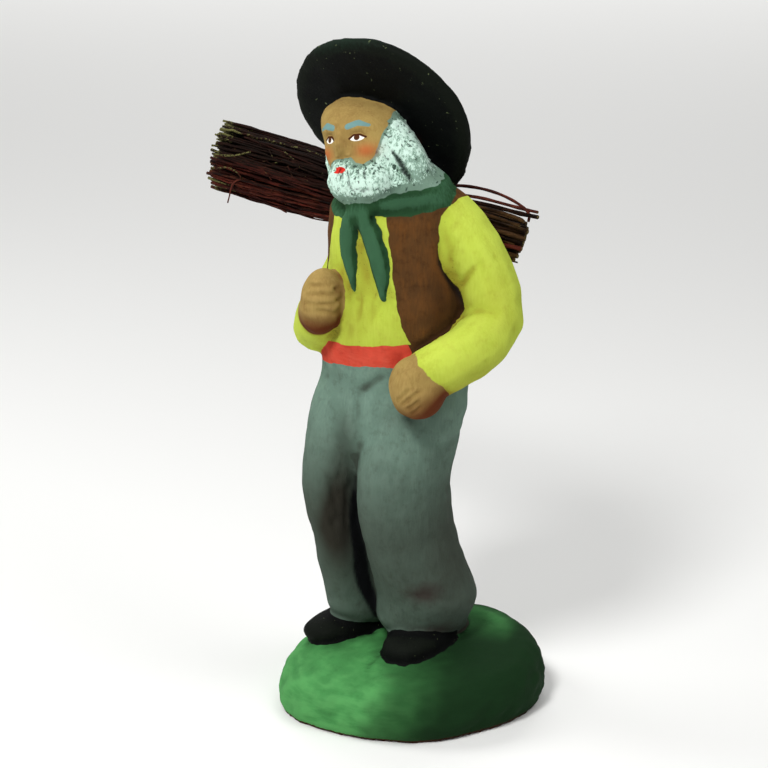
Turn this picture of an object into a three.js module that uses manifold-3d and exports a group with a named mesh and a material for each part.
// A painted terracotta crib figure: an old man in a wide black hat who carries a bundle of real twigs
// across his back. The clay man and his mound are one casting. The bundle is loose twigs, bound by a
// bent withy whose free end arches along the top. Millimetres, +Z up, the man faces -Y, and the origin
// is the middle of the mound's underside.
import * as THREE from 'three';
import { mergeVertices } from 'three/addons/utils/BufferGeometryUtils.js';
import Module from 'manifold-3d';

const wasm = await Module();
wasm.setup();

// Driving sizes of the mound
const MOUND_WIDTH = 47;
const MOUND_DEPTH = 45;
const MOUND_HEIGHT = 10.5;
const MOUND_SLOPE = 2;
const MOUND_UPHILL_ANGLE = THREE.MathUtils.degToRad(55);
const MOUND_BACK_SWELL = 1.9;

// Driving sizes of the man, from his heels, sunk in the mound, to the top of his hat
const MAN_HEIGHT = 110.5;
const MAN_X = -4.5;
const MAN_Y = -2;
const HEEL_LEVEL = 9.5;

// Driving sizes of the hat
const BRIM_RADIUS = 16.4;
const BRIM_THICKNESS = 2.2;
const CROWN_RADIUS = 9;
const CROWN_HEIGHT = 8;

// Driving sizes of the bundle: its reach to the man's right and left, how it droops to his left, the place
// of its binding, its twigs, and the withy's arch over the bundle, which ends past the twigs and before them
const BUNDLE_RIGHT = 49.9;
const BUNDLE_LEFT = 17.5;
const BUNDLE_RADIUS = 4.6;
const BUNDLE_SPREAD = 0.28;
const BUNDLE_TILT_ANGLE = THREE.MathUtils.degToRad(6.3);
const BINDING_X = -4.5;
const BINDING_LEVEL = 85.1;
const TWIG_COUNT = 50;
const TWIG_BUTT = 0.8;
const TWIG_TIP = 0.75;
const TWIG_BOW = 0.5;
const TWIG_UNEVENNESS = 0.6;
const TWIG_SLANT = 0.65;
const WITHY_THICKNESS = 0.7;
const WITHY_TURNS = 1.5;
const WITHY_ARCH = 2.85;
const WITHY_OVERHANG = 4.1;
const WITHY_SWING = 4.6;
const CLEARANCE = 0.3;

// The man's own unit is a hundredth of his height: his stations below are written in it
const UNIT = MAN_HEIGHT / 100;
const FEET = new THREE.Vector3(MAN_X, MAN_Y, HEEL_LEVEL);

const TERRACOTTA = new THREE.MeshStandardMaterial({ color: 0xa5713d, roughness: 0.85, metalness: 0 });
const TWIG_BARK = new THREE.MeshStandardMaterial({ color: 0x3a1d16, roughness: 0.8, metalness: 0 });

const { sin, cos, PI } = Math;
const clamp01 = (value) => Math.min(1, Math.max(0, value));
const bump = (distance, reach) => {
  const near = clamp01(1 - Math.abs(distance) / reach);
  return near * near * (3 - 2 * near);
};

// A smooth value through equally spaced stations, at t from 0 to 1
function through(values, t) {
  const place = clamp01(t) * (values.length - 1);
  const i = Math.min(values.length - 2, Math.floor(place));
  const at = (k) => values[Math.min(values.length - 1, Math.max(0, k))];
  const f = place - i;
  const [a, b, c, d] = [at(i - 1), at(i), at(i + 1), at(i + 2)];
  return b + 0.5 * f * (c - a + f * (2 * a - 5 * b + 4 * c - d + f * (3 * (b - c) + d - a)));
}

// A closed skin over equal rings of points, with a point at each end
function skin(rings, firstTip, lastTip) {
  const sides = rings[0].length;
  const points = [firstTip, ...rings.flat(), lastTip];
  const faces = [];
  const vertex = (ring, side) => 1 + ring * sides + (side % sides);
  for (let s = 0; s < sides; s++) {
    faces.push(0, vertex(0, s + 1), vertex(0, s));
    faces.push(points.length - 1, vertex(rings.length - 1, s), vertex(rings.length - 1, s + 1));
    for (let r = 0; r + 1 < rings.length; r++) {
      faces.push(vertex(r, s), vertex(r, s + 1), vertex(r + 1, s));
      faces.push(vertex(r, s + 1), vertex(r + 1, s + 1), vertex(r + 1, s));
    }
  }
  return new THREE.BufferGeometry().setFromPoints(points).setIndex(faces);
}

// A solid of stacked level rings. Each station is [height, x, y, half width, half depth], in units of the
// man, and carve(angle, t) moves a point out or in.
function stack(stations, sides, steps, carve = () => 0) {
  const value = (column, t) => through(stations.map((s) => s[column]), t) * UNIT;
  const rings = [];
  for (let k = 0; k <= steps; k++) {
    const t = k / steps;
    const ring = [];
    for (let s = 0; s < sides; s++) {
      const angle = (s / sides) * 2 * PI;
      const out = carve(angle, t) * UNIT;
      ring.push(new THREE.Vector3(
        value(1, t) + (value(3, t) + out) * cos(angle),
        value(2, t) + (value(4, t) + out) * sin(angle),
        value(0, t),
      ));
    }
    rings.push(ring);
  }
  const tip = (t) => new THREE.Vector3(value(1, t), value(2, t), value(0, t));
  return skin(rings, tip(0), tip(1));
}

// A solid swept along a smooth line of points, with a half width and half height at each station.
// The half widths lie in the direction of across, or square to the bend where it isn't given. The ends
// are rounded by short shrinking rings.
function sweep(points, halves, sides, steps, across) {
  const line = points.map((p) => new THREE.Vector3(...p).multiplyScalar(UNIT));
  const curve = new THREE.CatmullRomCurve3(line);
  const middle = line[Math.floor((line.length - 1) / 2)];
  const bend = () => middle.clone().sub(line[0]).cross(line.at(-1).clone().sub(middle)).normalize();
  const widest = across ? new THREE.Vector3(...across) : bend();
  const rings = [];
  const roundings = [0.5, 0.87];
  const stops = [
    ...roundings.map((share) => [0, share]),
    ...Array.from({ length: steps + 1 }, (_, k) => [k / steps, 1]),
    ...roundings.toReversed().map((share) => [1, share]),
  ];
  const endAt = (t, share) => {
    const direction = curve.getTangentAt(t);
    const wide = widest.clone().addScaledVector(direction, -widest.dot(direction)).normalize();
    const high = direction.clone().cross(wide);
    const halfWide = through(halves.map((h) => h[0]), t) * UNIT;
    const halfHigh = through(halves.map((h) => h[1]), t) * UNIT;
    const past = Math.sqrt(1 - share * share) * Math.min(halfWide, halfHigh) * (t < 0.5 ? -1 : 1);
    const centre = curve.getPointAt(t).addScaledVector(direction, share < 1 ? past : 0);
    return { wide, high, halfWide, halfHigh, centre };
  };
  for (const [t, share] of stops) {
    const { wide, high, halfWide, halfHigh, centre } = endAt(t, share);
    const ring = [];
    for (let s = 0; s < sides; s++) {
      const angle = (s / sides) * 2 * PI;
      ring.push(centre.clone()
        .addScaledVector(wide, halfWide * share * cos(angle))
        .addScaledVector(high, halfHigh * share * sin(angle)));
    }
    rings.push(ring);
  }
  return skin(rings, endAt(0, 0).centre, endAt(1, 0).centre);
}

// A solid made by moving each point of a unit ball, in units of the man
function modelled(around, along, move) {
  const ball = new THREE.SphereGeometry(1, around, along);
  ball.deleteAttribute('normal');
  ball.deleteAttribute('uv');
  const geometry = mergeVertices(ball.rotateX(PI / 2));
  const position = geometry.getAttribute('position');
  for (let i = 0; i < position.count; i++) {
    const point = move(new THREE.Vector3().fromBufferAttribute(position, i)).multiplyScalar(UNIT);
    position.setXYZ(i, point.x, point.y, point.z);
  }
  return geometry;
}

// One solid from a closed geometry
function solid(geometry) {
  const bare = new THREE.BufferGeometry();
  bare.setAttribute('position', geometry.getAttribute('position'));
  bare.setIndex(geometry.index);
  const merged = mergeVertices(bare);
  return new wasm.Manifold(new wasm.Mesh({
    numProp: 3,
    vertProperties: new Float32Array(merged.getAttribute('position').array),
    triVerts: new Uint32Array(merged.index.array),
  }));
}

function geometryOf(manifold) {
  const mesh = manifold.getMesh();
  const geometry = new THREE.BufferGeometry();
  geometry.setAttribute('position', new THREE.BufferAttribute(mesh.vertProperties, 3));
  geometry.setIndex(new THREE.BufferAttribute(mesh.triVerts, 1));
  return geometry;
}

// The mound of grass that he stands on: a low cushion, higher behind him, full before his right foot and
// flatter at his left side, with a dent in front
function mound() {
  const sides = 32;
  const profile = [
    [0.96, 0], [0.985, 0.11], [1, 0.28], [0.985, 0.5], [0.94, 0.7], [0.86, 0.85], [0.71, 0.95], [0.4, 1],
  ];
  const rings = profile.map(([share, rise]) => {
    const ring = [];
    for (let s = 0; s < sides; s++) {
      const angle = (s / sides) * 2 * PI;
      const uneven = 1 + 0.016 * sin(2 * angle + 0.6) + 0.012 * sin(5 * angle + 1.1);
      const from = (place) => Math.atan2(sin(angle - place), cos(angle - place));
      const dent = 0.05 * bump(from(1.61 * PI), 0.35) * (1 - rise);
      const full = 0.09 * bump(from(1.345 * PI), 0.55) * (1 - 0.5 * rise) + 0.05 * bump(from(0.25 * PI), 0.7);
      const flat = 0.1 * bump(from(1.9 * PI), 1.1) * (1 - 0.7 * rise);
      const reach = share * (uneven + full - flat - dent);
      const slope = MOUND_SLOPE * share * cos(angle - MOUND_UPHILL_ANGLE)
        + MOUND_BACK_SWELL * share * share * bump(from(0.42 * PI), 1.2);
      ring.push(new THREE.Vector3(
        (MOUND_WIDTH / 2) * reach * cos(angle),
        (MOUND_DEPTH / 2) * reach * sin(angle),
        (MOUND_HEIGHT + slope) * rise,
      ));
    }
    return ring;
  });
  return skin(rings, new THREE.Vector3(0, 0, 0), new THREE.Vector3(0, 0, MOUND_HEIGHT));
}

// A trouser leg, bent at the knee and flared at the hem, which reaches the ground behind the shoe
function trouserLeg(stations) {
  const creases = (angle, t) => 0.16 * sin(3 * angle + 9 * t) * clamp01(1.4 - 2 * t);
  return stack(stations, 20, 13, creases);
}

// The legs are apart below the knees, with a deep cleft between them
const RIGHT_LEG = [
  [1.2, -7, 7.6, 4.6, 4.8],
  [3.4, -7.1, 5.4, 5.3, 7.8],
  [6.6, -7.4, 5.2, 5.5, 8.5],
  [9, -7.4, 4.6, 5.5, 8.7],
  [13, -7.4, 3, 5.5, 8.5],
  [19, -6.8, 0.6, 5, 8.8],
  [24.5, -6.7, -1, 5.2, 9.1],
  [29, -6.5, -1.8, 5.5, 9.2],
  [34, -5.9, -1.4, 6.3, 9.2],
  [40, -5.4, 0.2, 7, 9],
  [45, -5, 0.8, 6.2, 7.4],
];
const LEFT_LEG = [
  [1.2, 4, 7.8, 5.6, 5.2],
  [3.4, 3.7, 5.4, 6.9, 8],
  [6.6, 4.7, 5.2, 7.7, 8.8],
  [9, 5.3, 4.6, 7.9, 8.9],
  [13, 4.95, 3, 7.4, 8.8],
  [19, 4.6, 0.6, 6.7, 8.9],
  [24.5, 4.6, -1, 6.5, 9.2],
  [29, 4.8, -1.8, 6.4, 9.2],
  [34, 5.2, -1.4, 6.8, 9.2],
  [40, 5.4, 0.2, 7, 9],
  [45, 5, 0.8, 6.2, 7.4],
];

// A broad rounded shoe from under the hem to the toe cap
function shoe(heel, toe, halfWidth, height) {
  const along = new THREE.Vector3(toe[0] - heel[0], toe[1] - heel[1], 0);
  const turn = Math.atan2(along.y, along.x) + PI / 2;
  const reach = along.length() / 2 + 0.94 * halfWidth;
  const centre = new THREE.Vector3(...heel).add(new THREE.Vector3(...toe)).multiplyScalar(0.5);
  return modelled(16, 9, (p) => {
    const blunt = (value, power) => Math.sign(value) * Math.abs(value) ** power;
    const high = p.z > 0 ? height - 0.6 * clamp01(-p.y) : 2.6;
    const local = new THREE.Vector3(blunt(p.x, 0.85) * halfWidth, blunt(p.y, 0.85) * reach, p.z * high);
    return local.applyAxisAngle(new THREE.Vector3(0, 0, 1), turn).add(centre);
  });
}

// Hips, belly, chest and sloping shoulders in one
function trunk() {
  const stations = [
    [33, 0.2, -1.4, 8, 5],
    [36.5, 0.5, -0.8, 11.8, 7.8],
    [40.5, 0.7, 0.4, 12.9, 9.2],
    [45.3, 0.8, 1.7, 12.8, 9.3],
    [50.8, 1.1, 0.6, 12.2, 9],
    [57, 1.8, 0.4, 12.2, 8.8],
    [63.7, 1.6, 0.3, 11.5, 8.4],
    [69, 1.3, 0.2, 11, 8.3],
    [73.5, 1.4, 0.2, 10.5, 8],
    [77.2, 2.2, 1, 9.2, 6.8],
    [79.6, 1.6, 1.6, 7, 5],
    [81.2, 0.8, 1.6, 4, 3.5],
  ];
  return stack(stations, 26, 14);
}

// A bent sleeve from the shoulder to the wrist, with the half widths of its forearm and its cuff
function sleeve(points, [forearm, cuff]) {
  const halves = [
    [4.3, 4.6], [4.6, 4.7], [4.7, 4.8], [4.7, 4.9], [4.6, 4.6], [forearm, forearm], [cuff, cuff],
  ];
  return sweep(points, halves, 12, 9);
}

// Clay that closes the gap between an upper arm and the side of the chest
function armpit(side) {
  const middle = 12.6 * side + 0.8;
  return modelled(10, 7, (p) => new THREE.Vector3(middle + 3.6 * p.x, 3.6 + 3 * p.y, 61 + 9.5 * p.z));
}

// A closed fist with grooves between its fingers. knuckles is the line along which the fingers follow
// each other, and size the half sizes.
function fist(centre, size, knuckles, turn) {
  const line = new THREE.Vector3(...knuckles).normalize();
  return modelled(16, 12, (p) => {
    const along = p.dot(line);
    const front = clamp01(-p.y);
    const groove = 0.07 * front * (0.5 + 0.5 * cos(along * 4.2 * PI)) * (Math.abs(along) < 0.8 ? 1 : 0);
    const local = new THREE.Vector3(p.x * size[0], p.y * size[1], p.z * size[2]).multiplyScalar(1 - groove);
    return local.applyAxisAngle(new THREE.Vector3(0, 1, 0), turn).add(new THREE.Vector3(...centre));
  });
}

// The head with its full beard, leaning a little to the man's right
function head() {
  const stations = [
    [74.2, -1, -3, 3.6, 3.4],
    [76.2, -1.2, -2.6, 5.5, 4.8],
    [79, -1.6, -2, 6.2, 5.6],
    [83, -2.4, -1.6, 6.5, 6],
    [86, -3.4, -1.3, 6.6, 6.2],
    [88.2, -4, -0.9, 5.6, 5.6],
    [89.5, -4.5, -0.3, 3.4, 3.8],
    [89.8, -4.6, -0.1, 1.2, 1.4],
  ];
  return stack(stations, 22, 11);
}

// The full end of the beard, which hangs over the knot of the kerchief
function beard() {
  return modelled(12, 8, (p) => new THREE.Vector3(-0.4 + 5.5 * p.x, -5.7 + 4.9 * p.y, 78.4 + 4.1 * p.z));
}

// A plain nose
function nose() {
  return modelled(8, 7, (p) => {
    const high = clamp01(0.5 + 0.5 * p.z);
    const [wide, deep] = [1.25 - 0.5 * high, 1.7 - 0.9 * high];
    return new THREE.Vector3(-3.1 + p.x * wide, -7.3 + p.y * deep, 84.6 + 2.1 * p.z);
  });
}

// A thick lock of hair that hangs from under the brim to the kerchief, on each side of the beard
function hairLock(side) {
  const points = [[3.4, 0, 87.2], [5.5, -0.5, 83.8], [7, -0.7, 80.6], [7.3, -0.7, 78]];
  const lean = [-2.9, -2.2, -1.5, -0.9];
  const line = points.map(([x, y, z], k) => [x * side + lean[k], y, z]);
  return sweep(line, [[1.9, 2.4], [2.5, 3], [2.9, 3.4], [2.7, 3.2]], 8, 5, [1, 0, 0]);
}

// The kerchief round the neck, lowest at its knot in front
function kerchief() {
  return modelled(20, 8, (p) => {
    const local = new THREE.Vector3(p.x * 9.2, p.y * 8, Math.sign(p.z) * Math.abs(p.z) ** 0.7 * 1.5);
    return local.applyAxisAngle(new THREE.Vector3(1, 0, 0), 0.2).add(new THREE.Vector3(1.8, -0.5, 76.9));
  });
}

function kerchiefKnot() {
  return modelled(10, 7, (p) => new THREE.Vector3(1 + 2.3 * p.x, -8.3 + 1.5 * p.y, 74.7 + 2.2 * p.z));
}

function kerchiefTail(points) {
  const halves = [[1.2, 0.8], [1.5, 0.8], [1.35, 0.75], [1.1, 0.7], [0.4, 0.4]];
  return sweep(points, halves, 8, 7, [1, 0, 0]);
}

const RIGHT_TAIL = [[0.2, -8.9, 74.5], [-0.65, -8.8, 72.6], [-1.2, -8.7, 68.8], [-0.9, -8.7, 65.8], [0, -8.7, 62]];
const LEFT_TAIL = [[1.8, -8.9, 74.5], [2.4, -8.8, 72.3], [3.7, -8.6, 69.3], [4.7, -8.5, 66.1], [5.3, -8.4, 61.4]];

// The wide hat, pushed far back so that its brim stands behind the face like a plate
const HAT_CENTRE = new THREE.Vector3(-2.44, 2.9, 87.1).multiplyScalar(UNIT);
const HAT_AXIS = new THREE.Vector3(-0.106, 0.867, 0.487).normalize();
const DROOP_ANGLE = THREE.MathUtils.degToRad(-55);

// The brim hangs lower and reaches further behind his left shoulder
function droopBehind(position) {
  for (let i = 0; i < position.count; i++) {
    const [x, z] = [position.getX(i), position.getZ(i)];
    const outer = clamp01((Math.hypot(x, z) - CROWN_RADIUS) / (BRIM_RADIUS - CROWN_RADIUS));
    const longer = 1 + 0.12 * outer * bump(Math.atan2(z, x) - DROOP_ANGLE, 0.5);
    position.setX(i, x * longer);
    position.setZ(i, z * longer);
  }
}

function hat() {
  const half = BRIM_THICKNESS / 2;
  const profile = [
    [0, -half], [BRIM_RADIUS - half, -half],
    [BRIM_RADIUS - 0.25 * half, -half * 0.6], [BRIM_RADIUS, 0], [BRIM_RADIUS - 0.25 * half, half * 0.6],
    [BRIM_RADIUS - half, half], [CROWN_RADIUS + half, half],
    [CROWN_RADIUS, half + 0.3 * CROWN_HEIGHT], [0.85 * CROWN_RADIUS, half + 0.75 * CROWN_HEIGHT],
    [0.5 * CROWN_RADIUS, half + 0.97 * CROWN_HEIGHT], [0, half + CROWN_HEIGHT],
  ].map(([radius, rise]) => new THREE.Vector2(radius, rise));
  const lathe = new THREE.LatheGeometry(profile, 32);
  lathe.deleteAttribute('normal');
  lathe.deleteAttribute('uv');
  droopBehind(lathe.getAttribute('position'));
  const upright = new THREE.Quaternion().setFromUnitVectors(new THREE.Vector3(0, 1, 0), HAT_AXIS);
  lathe.applyQuaternion(upright).translate(...HAT_CENTRE.toArray());
  return mergeVertices(lathe, 1e-4);
}

const LEFT_SLEEVE = [
  [9.4, 2.5, 73.2], [12.9, 3.5, 69.2], [16, 4.2, 63.3], [18.1, 3.4, 57.8],
  [17.8, -2, 54], [15.1, -6.4, 51.6], [13.2, -7.9, 50.5],
];
const RIGHT_SLEEVE = [
  [-6.6, 3.6, 71], [-7.6, 4.8, 66], [-9.6, 4.6, 60], [-12.6, 2.4, 53.4],
  [-10.8, -2.6, 52.8], [-8, -6.4, 56], [-6.8, -7.8, 57.6],
];

// All clay forms joined in one casting
function clayFigure() {
  const man = [
    trouserLeg(RIGHT_LEG), trouserLeg(LEFT_LEG), shoe([-7, 5.4, 0.9], [-10, -1.8, 0.4], 4.7, 3.1),
    shoe([6, 5.8, 1.6], [6.2, -2.4, 1.2], 4.9, 3.8), trunk(),
    sleeve(LEFT_SLEEVE, [4.4, 4.1]), sleeve(RIGHT_SLEEVE, [4.1, 3.6]), armpit(1), armpit(-0.8),
    fist([12, -8.8, 48.6], [4.8, 3.9, 5.1], [0.8, 0, 0.55], 0.2),
    fist([-5.6, -9.2, 59.4], [3.5, 3.5, 5.4], [0, 0, 1], 0.2),
    head(), nose(), beard(), hairLock(-0.8), hairLock(1), kerchief(), kerchiefKnot(), hat(),
    kerchiefTail(RIGHT_TAIL), kerchiefTail(LEFT_TAIL),
  ];
  return man
    .map((form) => solid(form).translate(FEET.toArray()))
    .reduce((whole, form) => whole.add(form), solid(mound()));
}

const CLAY = clayFigure();

// The bundle lies across the man's back, so its depth comes from the clay behind his neck and shoulders
function backOfTheMan() {
  const width = 6 * BUNDLE_RADIUS;
  const region = new THREE.BoxGeometry(width, 100, 2 * BUNDLE_RADIUS)
    .translate(BINDING_X, 0, BINDING_LEVEL - 0.1 * BUNDLE_RADIUS);
  region.deleteAttribute('normal');
  region.deleteAttribute('uv');
  return CLAY.intersect(solid(region)).boundingBox().max[1];
}

const BUNDLE_Y = backOfTheMan() + CLEARANCE + WITHY_THICKNESS + CLEARANCE + BUNDLE_RADIUS;

// A point of the bundle: along it to the man's left, and out and up from its middle line
function inBundle(along, out, up) {
  return new THREE.Vector3(
    BINDING_X + along * cos(BUNDLE_TILT_ANGLE),
    BUNDLE_Y + out,
    BINDING_LEVEL - along * sin(BUNDLE_TILT_ANGLE) + up,
  );
}

// How far the twigs open out at a place along the bundle: tight at the binding, wider at the butts
function spread(along) {
  const opening = clamp01((-along / BUNDLE_RIGHT - 0.163) / 0.442);
  const closing = clamp01(along / BUNDLE_LEFT);
  return 1 + BUNDLE_SPREAD * opening * opening * (3 - 2 * opening) - 0.06 * closing;
}

// A round rod along a smooth line, thinning from one end to the other
function rod(curve, firstRadius, lastRadius, sides, steps) {
  const rings = [];
  let wide = new THREE.Vector3(0, 1, 0);
  for (let k = 0; k <= steps; k++) {
    const t = k / steps;
    const direction = curve.getTangentAt(t);
    wide = wide.clone().addScaledVector(direction, -wide.dot(direction)).normalize();
    const high = direction.clone().cross(wide);
    const radius = firstRadius + (lastRadius - firstRadius) * t;
    const centre = curve.getPointAt(t);
    const ring = [];
    for (let s = 0; s < sides; s++) {
      const angle = (s / sides) * 2 * PI;
      ring.push(centre.clone()
        .addScaledVector(wide, radius * cos(angle))
        .addScaledVector(high, radius * sin(angle)));
    }
    rings.push(ring);
  }
  return skin(rings, curve.getPointAt(0), curve.getPointAt(1));
}

// One twig, from its cut butt on the man's right to its tip on his left. The twigs fill the bundle in a
// sunflower spiral, and both its ends are cut on a slant, further to his left before than behind.
function twig(index) {
  const share = Math.sqrt((index + 0.5) / TWIG_COUNT);
  const turn = index * PI * (3 - Math.sqrt(5));
  const out = (BUNDLE_RADIUS - TWIG_BUTT / 2) * share * cos(turn);
  const up = (BUNDLE_RADIUS - TWIG_BUTT / 2) * share * sin(turn);
  const uneven = 0.8 * sin(index * 2.4) + 0.5 * sin(index * 5.7 + 1);
  const butt = -BUNDLE_RIGHT - TWIG_SLANT * out + TWIG_UNEVENNESS * uneven;
  const shorter = TWIG_UNEVENNESS * (0.8 + sin(index * 3.9 + 2));
  const tip = BUNDLE_LEFT + 0.55 * up + TWIG_SLANT * (2.4 - out) - shorter;
  const stops = 3;
  const points = [];
  for (let k = 0; k <= stops; k++) {
    const along = butt + ((tip - butt) * k) / stops;
    const bow = TWIG_BOW * sin((along / BUNDLE_RIGHT) * PI);
    points.push(inBundle(along, out * spread(along), up * spread(along) + bow));
  }
  return rod(new THREE.CatmullRomCurve3(points), TWIG_BUTT / 2, TWIG_TIP / 2, 6, stops);
}

// The withy: wound round the bundle, then away over its top to the tips, where it hooks down before them
function withy() {
  const radius = BUNDLE_RADIUS + CLEARANCE + WITHY_THICKNESS / 2;
  const pitch = WITHY_THICKNESS + 2 * CLEARANCE;
  const stepsPerTurn = 12;
  const steps = WITHY_TURNS * stepsPerTurn;
  const points = [];
  for (let k = 0; k <= steps; k++) {
    const angle = PI / 2 - ((steps - k) / stepsPerTurn) * 2 * PI;
    points.push(inBundle(pitch * ((k - steps) / stepsPerTurn), radius * cos(angle), radius * sin(angle)));
  }
  const arch = [
    [0.21, 0, 0.07, 0.56], [0.5, 0, 0.17, 0.89], [0.78, 0, 0.35, 1],
    [1, 0.16, 0.63, 0.93], [1, 0.92, 0.89, 0.68], [1, 1, 1, 0.19],
  ];
  for (const [reach, past, swing, rise] of arch) {
    const along = reach * BUNDLE_LEFT + past * WITHY_OVERHANG;
    points.push(inBundle(along, -swing * WITHY_SWING, radius + rise * WITHY_ARCH));
  }
  const line = new THREE.CatmullRomCurve3(points, false, 'centripetal');
  return rod(line, WITHY_THICKNESS / 2, WITHY_THICKNESS / 2, 6, 38);
}

const root = new THREE.Group();

function place(name, geometry, material) {
  const mesh = new THREE.Mesh(geometry, material);
  mesh.name = name;
  root.add(mesh);
}

place('clay_figure', geometryOf(CLAY), TERRACOTTA);
place('binding_withy', withy(), TWIG_BARK);
for (let index = 0; index < TWIG_COUNT; index++) {
  place(`twig_${String(index + 1).padStart(2, '0')}`, twig(index), TWIG_BARK);
}

export default root;
